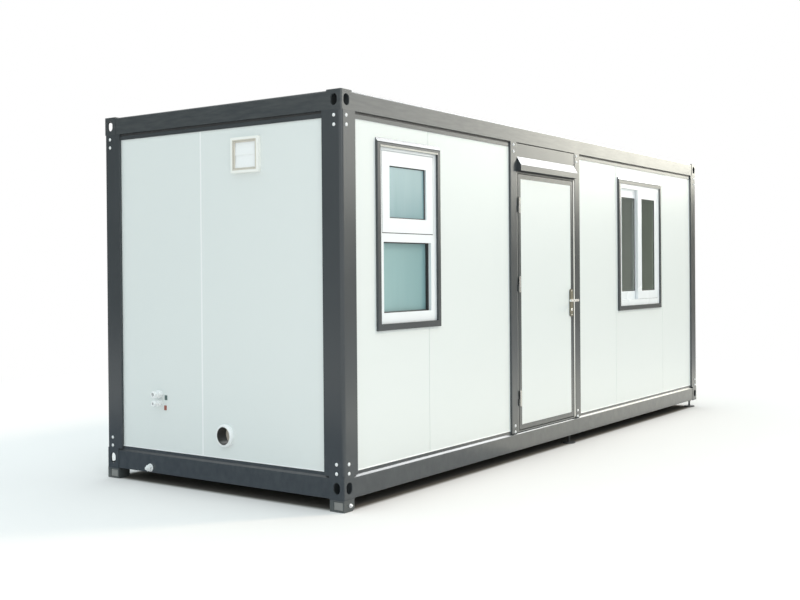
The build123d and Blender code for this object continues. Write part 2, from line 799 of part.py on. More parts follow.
# Water inlets: short pipes with a nut against the wall
with BuildPart() as water_inlets:
    for rise, outer in zip(inlet_rises, inlet_outers):
        with BuildSketch(left_plane(wall_setback)):
            with Locations((back_y - inlet_start, floor_top_z + rise)):
                Circle(outer / 2)
        extrude(amount=-(wall_setback + inlet_reach))
        with BuildSketch(left_plane(wall_setback)):
            with Locations((back_y - inlet_start, floor_top_z + rise)):
                RegularPolygon(outer / 2 + inlet_nut_lip, nut_side_count)
        extrude(amount=-inlet_nut_height)
        with BuildSketch(left_plane(-inlet_reach)):
            with Locations((back_y - inlet_start, floor_top_z + rise)):
                Circle(outer / 2 - inlet_wall)
        extrude(amount=inlet_reach, mode=Mode.SUBTRACT)
finish(water_inlets, "water_inlets")
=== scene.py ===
import math

import bmesh
import bpy
from mathutils import Matrix, Vector


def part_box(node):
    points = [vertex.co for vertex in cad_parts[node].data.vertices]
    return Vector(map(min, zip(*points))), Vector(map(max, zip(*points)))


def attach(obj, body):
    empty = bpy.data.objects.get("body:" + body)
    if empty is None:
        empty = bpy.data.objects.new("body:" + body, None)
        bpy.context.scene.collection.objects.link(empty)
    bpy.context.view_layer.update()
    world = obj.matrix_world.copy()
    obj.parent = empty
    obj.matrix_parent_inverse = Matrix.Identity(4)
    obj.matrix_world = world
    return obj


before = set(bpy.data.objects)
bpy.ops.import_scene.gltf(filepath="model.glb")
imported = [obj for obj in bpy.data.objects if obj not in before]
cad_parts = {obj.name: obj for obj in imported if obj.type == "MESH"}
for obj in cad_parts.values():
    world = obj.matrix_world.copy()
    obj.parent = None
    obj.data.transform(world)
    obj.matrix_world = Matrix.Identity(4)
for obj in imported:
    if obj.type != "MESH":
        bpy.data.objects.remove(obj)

scene = bpy.context.scene
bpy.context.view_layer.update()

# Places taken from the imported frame, in metres
front_left_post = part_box("corner_post_front_left")
back_right_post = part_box("corner_post_back_right")
left_x = front_left_post[0].x
right_x = back_right_post[1].x
front_y = front_left_post[0].y
back_y = back_right_post[1].y
floor_z = front_left_post[0].z
head_z = front_left_post[1].z
wall_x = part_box("left_wall")[0].x
drain_low, drain_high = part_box("drain_stub")
drain_middle = (drain_low + drain_high) / 2

# Bolts in the posts, measured from the post's ends and from the corner
post_bolt_drops = (0.036, 0.099)
post_bolt_rises = (0.020, 0.082)
end_bolt_inset = 0.064
side_bolt_inset = 0.050
door_bolt_drops = (0.025, 0.081)
door_bolt_rises = (0.010, 0.062)
door_bolt_starts = {"door_post_left": 0.050, "door_post_right": 0.038}
bolt_radius = 0.0098
bolt_height = 0.0055

# Earth bolt in the left floor beam
earth_from_back = 0.500
earth_rise = 0.035
earth_across = 0.046
earth_reach = 0.043

# Block feet: a pad in the pocket of the outer face and a bolt in the side face
pocket_depth = 0.008
pad_start = 0.013
pad_width = 0.078
pad_height = 0.054
pad_thickness = 0.006
foot_bolt_start = 0.060
foot_bolt_across = 0.022
foot_bolt_reach = 0.018

# Screw feet
screw_inset = 0.065
middle_screw_start = 3.140
thread_radius = 0.0118
thread_pitch = 0.0045
thread_span = (0.013, 0.064)

# Tags beside the water inlets, rings on them (gap to the mouth, length, lip), drain collar and vent bevel
tag_from_back = (0.667, 0.660)
tag_drop = (0.049, 0.016)
tag_width = 0.027
tag_height = 0.036
tag_thickness = 0.003
inlet_from_back = 0.605
inlet_rises = (0.448, 0.382)
inlet_radii = (0.020, 0.016)
union_rings = ((0.002, 0.018, 0.006), (0.038, 0.020, 0.010))
collar_radius = 0.082
collar_bore = 0.0704
drain_wall = 0.005
# How deep the drain's bore stays white before its painted shade starts
drain_lit_depth = 0.005
vent_border = 0.028

# Sealant and rubber in the joints of the walls, and dark strips of painted shade in the grooves under the
# roof beams
end_joint_from_back = 1.065
joint_seal_width = 0.013
joint_seal_height = 0.0012
foot_seal_width = 0.008
foot_seal_height = 0.0026
base_lip = 0.020
head_lip = 0.046
groove_height = 0.016
groove_setback = 0.015
groove_shade_thickness = 0.0025

# Rubber round the panes: how far it stands out of each pane; round the lower left pane it stands far out
# as painted shade in the deep reveal
gasket_width = 0.007
gasket_and_shade_reaches = {
    "left_window_upper_glass": 0.006,
    "left_window_lower_glass": 0.024,
    "right_window_inner_glass": 0.006,
    "right_window_outer_glass": 0.006,
}

# Gap round the top-hung sash, measured from the opening, and the dark strips of painted shade in it
sash_margin = 0.038
sash_head_margin = 0.024
sash_rise = 0.638
sash_gap = 0.006
sash_shade_depth = 0.003
sash_shade_thickness = 0.008

# Sloping caps on the window surrounds, and the pale grey strip of painted shade under the head of the left
# one
cap_rise = 0.028
cap_rim = 0.002
window_head_shade_height = 0.013
window_head_shade_thickness = 0.0015

# Sliding window: edges of its sashes, measured from the opening, and the grey strips of painted shade
# along them
slide_margin = 0.046
slide_sill = 0.060
slide_shade_height = 0.004
slide_shade_thickness = 0.0015
slide_lap = 0.042

# Strips on the face of the door frame: painted shade at its head, and a pale seal with painted highlight
# down its closing side
strip_width = 0.0155
strip_thickness = 0.004
head_strip_height = 0.010

# Lock furniture and hinges
cylinder_rise = 0.062
cylinder_radius = 0.0085
lock_screw_inset = 0.017
lock_screw_radius = 0.0042
hinge_height = 0.125
hinge_radius = 0.009
hinge_leaf_gap = 0.004
middle_hinge_share = 0.59
cap_height = 0.004

# Screws in the roof sheet
rib_pitch = 0.245
rib_base = 0.110
roof_screw_rows = 4
roof_screw_radius = 0.008

# Stage: floor, and where the floor turns dark with a painted shadow under the cabin and white away from it
floor_half = 200.0
shade_edge = 0.05
white_span = (4.0, 9.0)

# Cards that reflections see: end_flag behind the left end, low_flag by its foot, the rest to the right
end_flag_corners = [(-20, 12, 0), (-2, 12, 0), (-2, 12, 9), (-20, 12, 9)]
low_flag_corners = [(-6, -2, 0.01), (-3.1, -2, 0.01), (-3.1, 4, 0.01), (-6, 4, 0.01)]
front_card_corners = [(16, -28, 0), (16, 1, 0), (16, 1, 3.6), (16, -28, 3.6)]
sheen_x = 16.0
ground_sheen_z = 0.01

# Lamps: power and size
sun_strength = 0.80
sun_angle = math.radians(10.0)
fill_power = 85.0
fill_size = 4.0
room_power = 25.0
room_size = 1.6


# Shapes


def new_object(name, bm, material, body, smooth=False):
    """Turns a bmesh into a piece that rides on a body."""
    bmesh.ops.recalc_face_normals(bm, faces=bm.faces)
    mesh = bpy.data.meshes.new(name)
    bm.to_mesh(mesh)
    bm.free()
    mesh.materials.append(material)
    if smooth:
        mesh.shade_smooth()
    piece = bpy.data.objects.new(name, mesh)
    scene.collection.objects.link(piece)
    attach(piece, body)
    return piece


def turned_rings(bm, origin, axis, profile, sides):
    """Rings of points round an axis, one for each (radius, height) of the profile."""
    axis = Vector(axis).normalized()
    side = axis.orthogonal().normalized()
    up = axis.cross(side)
    rings = []
    for radius, height in profile:
        ring = []
        for step in range(sides):
            turn = 2 * math.pi * step / sides
            offset = (side * math.cos(turn) + up * math.sin(turn)) * radius
            ring.append(bm.verts.new(Vector(origin) + axis * height + offset))
        rings.append(ring)
    return rings


def join_rings(bm, lower, upper):
    """Faces between two rings with as many points."""
    for step in range(len(lower)):
        after = (step + 1) % len(lower)
        bm.faces.new((lower[step], lower[after], upper[after], upper[step]))


def lathe(bm, origin, axis, profile, sides):
    """Adds a turned shape; the profile holds (radius, height along the axis) from base to tip."""
    rings = turned_rings(bm, origin, axis, profile, sides)
    for lower, upper in zip(rings, rings[1:]):
        join_rings(bm, lower, upper)
    bm.faces.new(rings[0][::-1])
    bm.faces.new(rings[-1])


def tube(bm, origin, axis, profile, sides):
    """Adds a turned ring; the profile holds (radius, height along the axis) all round its section."""
    rings = turned_rings(bm, origin, axis, profile, sides)
    for lower, upper in zip(rings, rings[1:] + rings[:1]):
        join_rings(bm, lower, upper)


def bar(bm, low, high, edge):
    """Adds a box between two corners with its edges eased."""
    size = Vector(high) - Vector(low)
    middle = (Vector(high) + Vector(low)) / 2
    place = Matrix.Translation(middle) @ Matrix.Diagonal((*size, 1.0))
    made = bmesh.ops.create_cube(bm, size=1.0, matrix=place)
    edges = list({e for v in made["verts"] for e in v.link_edges})
    bmesh.ops.bevel(bm, geom=edges, offset=edge, segments=2, affect="EDGES", profile=0.5)


def half_round(bm, start, end, across, out, width, height):
    """Adds a half-round bead from start to end, spread along across and raised along out."""
    arc_steps = 6
    ends = []
    for place in (start, end):
        arc = []
        for step in range(arc_steps + 1):
            turn = math.pi * step / arc_steps
            aside = Vector(across) * (width / 2 * math.cos(turn))
            raised = Vector(out) * (height * math.sin(turn))
            arc.append(bm.verts.new(Vector(place) + aside + raised))
        ends.append(arc)
    for step in range(arc_steps):
        bm.faces.new((ends[0][step], ends[0][step + 1], ends[1][step + 1], ends[1][step]))
    bm.faces.new(ends[0])
    bm.faces.new(ends[1][::-1])


def mitred_ring(bm, low, high, profile, place):
    """Adds a ring of strips inside the outline from low to high, with mitred corners.

    The profile holds (inset, height) all round the section of the strips, and place turns
    (across, up, height) into a point.
    """
    loops = []
    for inset, height in profile:
        u0, u1, v0, v1 = low[0] + inset, high[0] - inset, low[1] + inset, high[1] - inset
        corners = ((u0, v0), (u1, v0), (u1, v1), (u0, v1))
        loops.append([bm.verts.new(place(u, v, height)) for u, v in corners])
    for loop, following in zip(loops, loops[1:] + loops[:1]):
        join_rings(bm, loop, following)


# Materials


def add(tree, kind, settings=None, **inputs):
    """Adds a shader node with its settings and input values."""
    node = tree.nodes.new(kind)
    for key, value in (settings or {}).items():
        setattr(node, key, value)
    for key, value in inputs.items():
        node.inputs[key.replace("_", " ")].default_value = value
    return node


def start_material(name):
    """A new material with its tree, its shader and the place of the shaded point in metres."""
    material = bpy.data.materials.new(name)
    material.use_nodes = True
    tree = material.node_tree
    place = add(tree, "ShaderNodeTexCoord").outputs["Object"]
    return material, tree, tree.nodes["Principled BSDF"], place


def noise(tree, place, size, detail=3.0, stretch=(1.0, 1.0, 1.0)):
    """Noise whose grains are about that size in metres, drawn out along the axes by stretch."""
    mapping = add(tree, "ShaderNodeMapping")
    mapping.inputs["Scale"].default_value = [1.0 / (size * s) for s in stretch]
    tree.links.new(place, mapping.inputs["Vector"])
    grain = add(tree, "ShaderNodeTexNoise", Scale=1.0, Detail=detail)
    tree.links.new(mapping.outputs["Vector"], grain.inputs["Vector"])
    return grain.outputs["Fac"]


def spread(tree, value, low, high, start=0.2, end=0.8):
    """Turns a value that runs from start to end into one that runs from low to high."""
    node = add(tree, "ShaderNodeMapRange", From_Min=start, From_Max=end, To_Min=low, To_Max=high)
    tree.links.new(value, node.inputs["Value"])
    return node.outputs["Result"]


def maths(tree, operation, first, second):
    """Two values put together by an operation."""
    node = add(tree, "ShaderNodeMath", {"operation": operation})
    tree.links.new(first, node.inputs[0])
    tree.links.new(second, node.inputs[1])
    return node.outputs["Value"]


def blend(tree, factor, first, second):
    """Colour that goes from first to second as factor goes from 0 to 1; each is a colour or a socket."""
    node = add(tree, "ShaderNodeMix", {"data_type": "RGBA"})
    tree.links.new(factor, node.inputs["Factor"])
    for socket, colour in ((node.inputs[6], first), (node.inputs[7], second)):
        if isinstance(colour, tuple):
            socket.default_value = (*colour, 1.0)
        else:
            tree.links.new(colour, socket)
    return node.outputs[2]


def axis_value(tree, place, axis):
    """The X, Y or Z of a place."""
    split = add(tree, "ShaderNodeSeparateXYZ")
    tree.links.new(place, split.inputs["Vector"])
    return split.outputs[axis]


def distance_from_line(tree, place, middle, across):
    """Distance in metres from a line through middle; across is 0 along the line and 1 off it."""
    offset = add(tree, "ShaderNodeVectorMath", {"operation": "SUBTRACT"})
    tree.links.new(place, offset.inputs[0])
    offset.inputs[1].default_value = middle
    flat = add(tree, "ShaderNodeVectorMath", {"operation": "MULTIPLY"})
    tree.links.new(offset.outputs["Vector"], flat.inputs[0])
    flat.inputs[1].default_value = across
    length = add(tree, "ShaderNodeVectorMath", {"operation": "LENGTH"})
    tree.links.new(flat.outputs["Vector"], length.inputs[0])
    return length.outputs["Value"]


def bump(tree, shader, height, depth, under=None):
    """Bump whose heights span about depth metres, over an earlier bump if there is one."""
    node = add(tree, "ShaderNodeBump", Strength=1.0, Distance=depth)
    tree.links.new(height, node.inputs["Height"])
    if under:
        tree.links.new(under.outputs["Normal"], node.inputs["Normal"])
    tree.links.new(node.outputs["Normal"], shader.inputs["Normal"])
    return node


def soiling(tree, place, colour, dust, top, strength):
    """Dust that thins out from the ground up to a height in metres."""
    low = spread(tree, axis_value(tree, place, "Z"), strength, 0.0, floor_z, top)
    patches = spread(tree, noise(tree, place, 0.05, 5.0, (1.0, 1.0, 1.4)), 0.0, 1.0)
    return blend(tree, maths(tree, "MULTIPLY", low, patches), colour, dust)


def rain_film(tree, place, colour, film, strength):
    """Streaks of dried rain along the roof beams."""
    high = spread(tree, axis_value(tree, place, "Z"), 0.0, strength, head_z - 0.001, head_z + 0.001)
    streaks = spread(tree, noise(tree, place, 0.02, 5.0, (7.0, 7.0, 1.0)), 0.0, 1.0, 0.3, 0.7)
    return blend(tree, maths(tree, "MULTIPLY", high, streaks), colour, film)


def painted_steel(name, colour, variation, roughness, dust_top):
    """Satin paint on folded steel: faint patches, orange-peel grain, dust below and rain film above."""
    material, tree, shader, place = start_material(name)
    light = tuple(c * (1.0 + variation) for c in colour)
    dark = tuple(c * (1.0 - variation) for c in colour)
    paint = blend(tree, spread(tree, noise(tree, place, 0.6, 4.0), 0.0, 1.0), dark, light)
    dust = tuple(0.6 * c + 0.09 for c in colour)
    paint = soiling(tree, place, paint, dust, dust_top, 0.3)
    paint = rain_film(tree, place, paint, (0.26, 0.26, 0.24), 0.10)
    tree.links.new(paint, shader.inputs["Base Color"])
    gloss = noise(tree, place, 0.3, 1.0)
    tree.links.new(spread(tree, gloss, roughness - 0.03, roughness + 0.03), shader.inputs["Roughness"])
    bump(tree, shader, noise(tree, place, 0.004, 1.0), 0.00002)
    return material


def wall_skin():
    """White coated steel skin: wide shallow waves, fine grain and a little dust at the foot."""
    material, tree, shader, place = start_material("wall_skin")
    patches = noise(tree, place, 1.6, 0.0)
    white = blend(tree, patches, (0.765, 0.803, 0.792), (0.790, 0.820, 0.806))
    white = soiling(tree, place, white, (0.62, 0.63, 0.60), floor_z + 0.22, 0.12)
    tree.links.new(white, shader.inputs["Base Color"])
    gloss = noise(tree, place, 1.2, 0.0)
    tree.links.new(spread(tree, gloss, 0.26, 0.32, 0.0, 1.0), shader.inputs["Roughness"])
    shader.inputs["Specular IOR Level"].default_value = 0.2
    waves = bump(tree, shader, noise(tree, place, 0.9, 0.0, (1.0, 1.0, 1.8)), 0.0006)
    bump(tree, shader, noise(tree, place, 0.003, 2.0), 0.00002, waves)
    return material


def smooth_plastic(name, colour, roughness, grain):
    """Moulded plastic with a fine grain and slight changes of tone."""
    material, tree, shader, place = start_material(name)
    tone = spread(tree, noise(tree, place, 0.3, 1.0), 0.0, 1.0)
    dark = tuple(0.975 * c for c in colour)
    tree.links.new(blend(tree, tone, dark, colour), shader.inputs["Base Color"])
    gloss = spread(tree, noise(tree, place, 0.5, 0.0), roughness - 0.02, roughness + 0.04, 0.0, 1.0)
    tree.links.new(gloss, shader.inputs["Roughness"])
    bump(tree, shader, noise(tree, place, grain, 1.0), 0.00001)
    return material


def brushed_metal(name, colour, roughness, stretch):
    """Bright metal with fine brushing along one axis."""
    material, tree, shader, place = start_material(name)
    lines = noise(tree, place, 0.002, 3.0, stretch)
    dark = tuple(0.85 * c for c in colour)
    tree.links.new(blend(tree, spread(tree, lines, 0.0, 1.0), dark, colour), shader.inputs["Base Color"])
    tree.links.new(spread(tree, lines, roughness - 0.06, roughness + 0.10), shader.inputs["Roughness"])
    shader.inputs["Metallic"].default_value = 1.0
    bump(tree, shader, lines, 0.00002)
    return material


def repaint(material, share, colour):
    """Puts a colour over a material where share is 1."""
    tree = material.node_tree
    base = tree.nodes["Principled BSDF"].inputs["Base Color"]
    under = base.links[0].from_socket
    tree.links.new(blend(tree, share, under, colour), base)


def hinge_steel(middle):
    """Bright hinge barrels on painted plates."""
    material = brushed_metal("hinge_steel", (0.50, 0.49, 0.46), 0.24, (1.0, 1.0, 12.0))
    tree = material.node_tree
    place = add(tree, "ShaderNodeTexCoord").outputs["Object"]
    distance = distance_from_line(tree, place, middle, (1.0, 1.0, 0.0))
    barrel = hinge_radius + 0.0005
    repaint(material, spread(tree, distance, 0.0, 1.0, barrel, barrel + 0.0005), (0.075, 0.080, 0.080))
    bare = spread(tree, distance, 1.0, 0.0, barrel, barrel + 0.0005)
    tree.links.new(bare, tree.nodes["Principled BSDF"].inputs["Metallic"])
    return material


def pipe_with_painted_bore_shade(painted_bore_shade):
    """White pipe along X whose bore is painted dark, as shade, beyond its lit mouth."""
    material = smooth_plastic("drain_white", (0.92, 0.93, 0.92), 0.35, 0.002)
    tree = material.node_tree
    place = add(tree, "ShaderNodeTexCoord").outputs["Object"]
    bore = drain_high.z - drain_middle.z - drain_wall
    distance = distance_from_line(tree, place, drain_middle, (0.0, 1.0, 1.0))
    inside = spread(tree, distance, 1.0, 0.0, bore, bore + 0.001)
    lit_x = drain_low.x + drain_lit_depth
    deep = spread(tree, axis_value(tree, place, "X"), 0.0, 1.0, lit_x - 0.003, lit_x)
    repaint(material, maths(tree, "MULTIPLY", inside, deep), painted_bore_shade)
    return material


def zinc_sheet():
    """Zinc coated sheet with its frost-like spangle."""
    material, tree, shader, place = start_material("zinc_sheet")
    cells = add(tree, "ShaderNodeTexVoronoi", Scale=55.0)
    tree.links.new(place, cells.inputs["Vector"])
    grey = add(tree, "ShaderNodeSeparateColor")
    tree.links.new(cells.outputs["Color"], grey.inputs["Color"])
    spangle = grey.outputs["Red"]
    weather = spread(tree, noise(tree, place, 0.5, 5.0), 0.0, 0.5)
    colour = blend(tree, spangle, (0.46, 0.48, 0.49), (0.60, 0.62, 0.63))
    tree.links.new(blend(tree, weather, colour, (0.40, 0.40, 0.38)), shader.inputs["Base Color"])
    tree.links.new(spread(tree, spangle, 0.38, 0.52, 0.0, 1.0), shader.inputs["Roughness"])
    shader.inputs["Metallic"].default_value = 0.7
    return material


def floor_board():
    """Plain floor board with a long soft grain."""
    material, tree, shader, place = start_material("floor_board")
    grain = noise(tree, place, 0.012, 5.0, (30.0, 1.0, 1.0))
    colour = blend(tree, spread(tree, grain, 0.0, 1.0), (0.30, 0.27, 0.23), (0.42, 0.38, 0.33))
    tree.links.new(colour, shader.inputs["Base Color"])
    tree.links.new(spread(tree, grain, 0.42, 0.58), shader.inputs["Roughness"])
    bump(tree, shader, grain, 0.0002)
    return material


def clear_glass(name, dark, light):
    """Window glass with a faint grey-green body and slight waves."""
    material, tree, shader, place = start_material(name)
    tint = spread(tree, noise(tree, place, 0.4, 2.0), 0.0, 1.0)
    tree.links.new(blend(tree, tint, dark, light), shader.inputs["Base Color"])
    tree.links.new(spread(tree, noise(tree, place, 0.06, 4.0), 0.0, 0.03), shader.inputs["Roughness"])
    shader.inputs["Transmission Weight"].default_value = 1.0
    shader.inputs["IOR"].default_value = 1.23
    bump(tree, shader, noise(tree, place, 0.35, 1.0), 0.0006)
    return material


def obscure_glass(name, light, dark, streaks):
    """Frosted green-blue glass, paler on its left side and darker on its right as painted shade from its
    reveal; streaks says how far soft upright bands show.
    """
    material, tree, shader, place = start_material(name)
    low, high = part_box(name)
    # Painted shade: the pane darkens towards its right, where its reveal shades it
    across = spread(tree, axis_value(tree, place, "X"), 1.0, 0.0, low.x, high.x)
    bands = spread(tree, noise(tree, place, 0.045, 2.0, (1.0, 1.0, 14.0)), 0.0, streaks)
    colour = blend(tree, bands, blend(tree, across, dark, light), dark)
    tree.links.new(colour, shader.inputs["Base Color"])
    tree.links.new(spread(tree, noise(tree, place, 0.02, 3.0), 0.10, 0.20), shader.inputs["Roughness"])
    shader.inputs["Transmission Weight"].default_value = 0.2
    bump(tree, shader, noise(tree, place, 0.006, 2.0), 0.00006)
    return material


def rubber():
    """Dark rubber with a dull grain, also the colour of the painted shade in gaps, grooves and under the
    door's hood.
    """
    material, tree, shader, place = start_material("rubber")
    tone = spread(tree, noise(tree, place, 0.02, 4.0), 0.0, 1.0)
    colour = blend(tree, tone, (0.020, 0.021, 0.021), (0.040, 0.041, 0.041))
    tree.links.new(colour, shader.inputs["Base Color"])
    tree.links.new(spread(tree, noise(tree, place, 0.008, 3.0), 0.55, 0.75), shader.inputs["Roughness"])
    return material


hinges_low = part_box("hinges")[0]
hinge_axis = Vector((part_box("door_edge")[0].x - hinge_leaf_gap, hinges_low.y + hinge_radius, 0.0))

frame_paint = painted_steel("frame_paint", (0.053, 0.060, 0.065), 0.06, 0.24, floor_z + 0.25)
jamb_paint = painted_steel("jamb_paint", (0.12, 0.13, 0.13), 0.05, 0.30, floor_z + 0.15)
foot_paint = painted_steel("foot_paint", (0.075, 0.085, 0.085), 0.15, 0.40, floor_z + 0.1)
foot_pad = painted_steel("foot_pad", (0.26, 0.26, 0.25), 0.18, 0.55, floor_z + 0.1)
foot_screw = painted_steel("foot_screw", (0.055, 0.056, 0.058), 0.2, 0.45, floor_z + 0.1)
skin = wall_skin()
window_plastic = smooth_plastic("window_plastic", (0.875, 0.90, 0.92), 0.25, 0.003)
vent_white = smooth_plastic("vent_white", (0.95, 0.96, 0.96), 0.40, 0.002)
vent_cream = smooth_plastic("vent_cream", (0.94, 0.94, 0.90), 0.45, 0.002)
# Beige painted shade for the recess round the vent's flap
vent_painted_shade = smooth_plastic("vent_painted_shade", (0.66, 0.62, 0.54), 0.45, 0.002)
pipe_white = smooth_plastic("pipe_white", (0.95, 0.96, 0.96), 0.35, 0.002)
# The dark colour is painted shade deep inside the drain's bore
drain_white = pipe_with_painted_bore_shade((0.045, 0.045, 0.044))
tag_green = smooth_plastic("tag_green", (0.09, 0.14, 0.13), 0.4, 0.002)
tag_red = smooth_plastic("tag_red", (0.36, 0.11, 0.08), 0.4, 0.002)
bright_steel = brushed_metal("bright_steel", (0.92, 0.93, 0.94), 0.24, (1.0, 1.0, 12.0))
lock_steel = brushed_metal("lock_steel", (0.20, 0.19, 0.15), 0.32, (1.0, 1.0, 12.0))
barrel_steel = hinge_steel(hinge_axis)
bolt_zinc = brushed_metal("bolt_zinc", (0.93, 0.94, 0.95), 0.36, (1.0, 1.0, 1.0))
# A pale matt finish painted in place of the bright reflection on the zinc bolt heads
bolt_painted_sheen = smooth_plastic("bolt_painted_sheen", (0.90, 0.91, 0.91), 0.28, 0.002)
roof_zinc = zinc_sheet()
boards = floor_board()
inner_glass = clear_glass("inner_glass", (0.80, 0.86, 0.80), (0.86, 0.91, 0.86))
# The outer pane is darker and greener than the inner one: a painted dark reflection
outer_glass = clear_glass("outer_glass", (0.57, 0.66, 0.57), (0.65, 0.74, 0.65))
upper_obscure = obscure_glass("left_window_upper_glass", (0.40, 0.565, 0.60), (0.30, 0.465, 0.495), 0.6)
lower_obscure = obscure_glass("left_window_lower_glass", (0.43, 0.63, 0.635), (0.30, 0.485, 0.50), 0.25)
# Dark rubber for gaskets, and painted shade in the gaps, grooves, keyway and door head
rubber_and_painted_shade = rubber()
seal_white = smooth_plastic("seal_white", (0.93, 0.94, 0.94), 0.3, 0.004)
# Pale strip: partly a seal, partly a painted highlight on the sunny closing side of the jamb
strip_seal_and_highlight = smooth_plastic("strip_seal_and_highlight", (0.86, 0.85, 0.80), 0.3, 0.004)
# Pale grey painted shade for the left window's head under its surround
window_head_shade_grey = smooth_plastic("window_head_shade_grey", (0.50, 0.49, 0.45), 0.4, 0.004)
# Grey painted shade for the gaps of the sliding window
painted_shade_grey = smooth_plastic("painted_shade_grey", (0.30, 0.31, 0.32), 0.4, 0.004)

# Finish of every CAD node; the first fragment found in its name counts
finishes = {
    "wall": skin, "door_panel": skin, "ceiling": skin, "window_frame": window_plastic,
    "upper_glass": upper_obscure, "lower_glass": lower_obscure,
    "inner_glass": inner_glass, "outer_glass": outer_glass,
    "door_frame": jamb_paint, "block_feet": foot_paint, "screw_feet": foot_screw,
    "floor_deck": boards, "roof_sheet": roof_zinc, "hinge": barrel_steel,
    "lock_plate": lock_steel, "lever": bright_steel, "vent_frame": vent_cream,
    "vent_flap": vent_white, "drain_stub": drain_white, "water_inlets": pipe_white,
}
for node_name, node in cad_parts.items():
    matches = [material for key, material in finishes.items() if key in node_name]
    node.data.materials.clear()
    node.data.materials.append(matches[0] if matches else frame_paint)


# Bolts


def bolt_head(bm, place, axis):
    """A washer under a domed head."""
    dome = [(bolt_radius * 1.25, 0.0), (bolt_radius * 1.25, 0.0015), (bolt_radius, 0.0017)]
    for step in range(1, 5):
        turn = math.pi / 2 * step / 5
        dome.append((bolt_radius * math.cos(turn), 0.0017 + bolt_height * math.sin(turn)))
    lathe(bm, place, axis, dome, 16)


def post_bolts():
    """Pairs of bolts at the head and foot of both outer faces of each corner post."""
    bm = bmesh.new()
    heights = [head_z - drop for drop in post_bolt_drops] + [floor_z + rise for rise in post_bolt_rises]
    for x_face, x_out in ((left_x, -1), (right_x, 1)):
        for y_face, y_out in ((front_y, -1), (back_y, 1)):
            for z in heights:
                bolt_head(bm, (x_face, y_face - y_out * end_bolt_inset, z), (x_out, 0, 0))
                bolt_head(bm, (x_face - x_out * side_bolt_inset, y_face, z), (0, y_out, 0))
    new_object("post_bolts", bm, bolt_painted_sheen, "cabin", smooth=True)


def door_post_bolts():
    """Pairs of bolts at the head and foot of the door posts."""
    bm = bmesh.new()
    heights = [head_z - drop for drop in door_bolt_drops] + [floor_z + rise for rise in door_bolt_rises]
    for post, start in door_bolt_starts.items():
        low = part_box(post)[0]
        for z in heights:
            bolt_head(bm, (low.x + start, low.y, z), (0, -1, 0))
    new_object("door_post_bolts", bm, bolt_painted_sheen, "cabin", smooth=True)


def hexagon_bolt(bm, place, axis, across, reach):
    """A washer, a hexagon nut and the threaded end that stands out of it."""
    radius = across / math.sqrt(3)
    lathe(bm, place, axis, [(radius * 1.15, 0.0), (radius * 1.15, 0.003)], 24)
    nut = [(radius * 0.93, 0.003), (radius, 0.005), (radius, reach * 0.5), (radius * 0.93, reach * 0.55)]
    lathe(bm, place, axis, nut, 6)
    thread = [(radius * 0.5, reach * 0.5)]
    turns = 6
    for turn in range(turns):
        base = reach * (0.5 + 0.42 * turn / turns)
        thread += [(radius * 0.55, base), (radius * 0.47, base + reach * 0.21 / turns)]
    thread += [(radius * 0.45, reach * 0.96), (radius * 0.38, reach)]
    lathe(bm, place, axis, thread, 16)


def earth_bolt():
    """Earth bolt on the left floor beam."""
    bm = bmesh.new()
    beam_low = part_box("floor_beams")[0]
    place = (beam_low.x, back_y - earth_from_back, beam_low.z + earth_rise)
    hexagon_bolt(bm, place, (-1, 0, 0), earth_across, earth_reach)
    new_object("earth_bolt", bm, bolt_painted_sheen, "cabin")


post_bolts()
door_post_bolts()
earth_bolt()


# Feet


def foot_pads():
    """Worn pads in the pockets of the block feet."""
    bm = bmesh.new()
    low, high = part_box("block_feet")
    casting_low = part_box("bottom_casting_back_left")[0]
    inset = back_y - high.y
    x = low.x + pocket_depth
    z = (high.z - pad_height) / 2
    for foot_y in (low.y, casting_low.y + inset):
        y = foot_y + pad_start
        bar(bm, (x - pad_thickness, y, z), (x, y + pad_width, z + pad_height), 0.0025)
    new_object("foot_pads", bm, foot_pad, "cabin")


def foot_bolts():
    """A bolt in the outer side face of each block foot."""
    bm = bmesh.new()
    low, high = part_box("block_feet")
    for y, out in ((low.y, -1), (high.y, 1)):
        place = (low.x + foot_bolt_start, y, high.z / 2)
        hexagon_bolt(bm, place, (0, out, 0), foot_bolt_across, foot_bolt_reach)
    new_object("foot_bolts", bm, bolt_zinc, "cabin")


def foot_threads():
    """Threads on the rods of the screw feet."""
    bm = bmesh.new()
    low, high = thread_span
    root = thread_radius * 0.88
    profile = [(root, low)]
    for turn in range(int((high - low) / thread_pitch)):
        base = low + turn * thread_pitch
        profile += [(root, base + 0.1 * thread_pitch), (thread_radius, base + 0.5 * thread_pitch),
                    (root, base + 0.9 * thread_pitch)]
    for x in (right_x - screw_inset, left_x + middle_screw_start):
        for y in (front_y + screw_inset, back_y - screw_inset):
            lathe(bm, (x, y, 0.0), (0, 0, 1), profile, 14)
    new_object("foot_threads", bm, foot_screw, "cabin")


foot_pads()
foot_bolts()
foot_threads()


# Fittings on the left wall


def inlet_tag(name, from_back, z, material):
    """A small coloured tag on the wall beside an inlet."""
    bm = bmesh.new()
    y = back_y - from_back
    low = (wall_x - tag_thickness, y - tag_width / 2, z - tag_height / 2)
    bar(bm, low, (wall_x, y + tag_width / 2, z + tag_height / 2), 0.001)
    new_object(name, bm, material, "cabin")


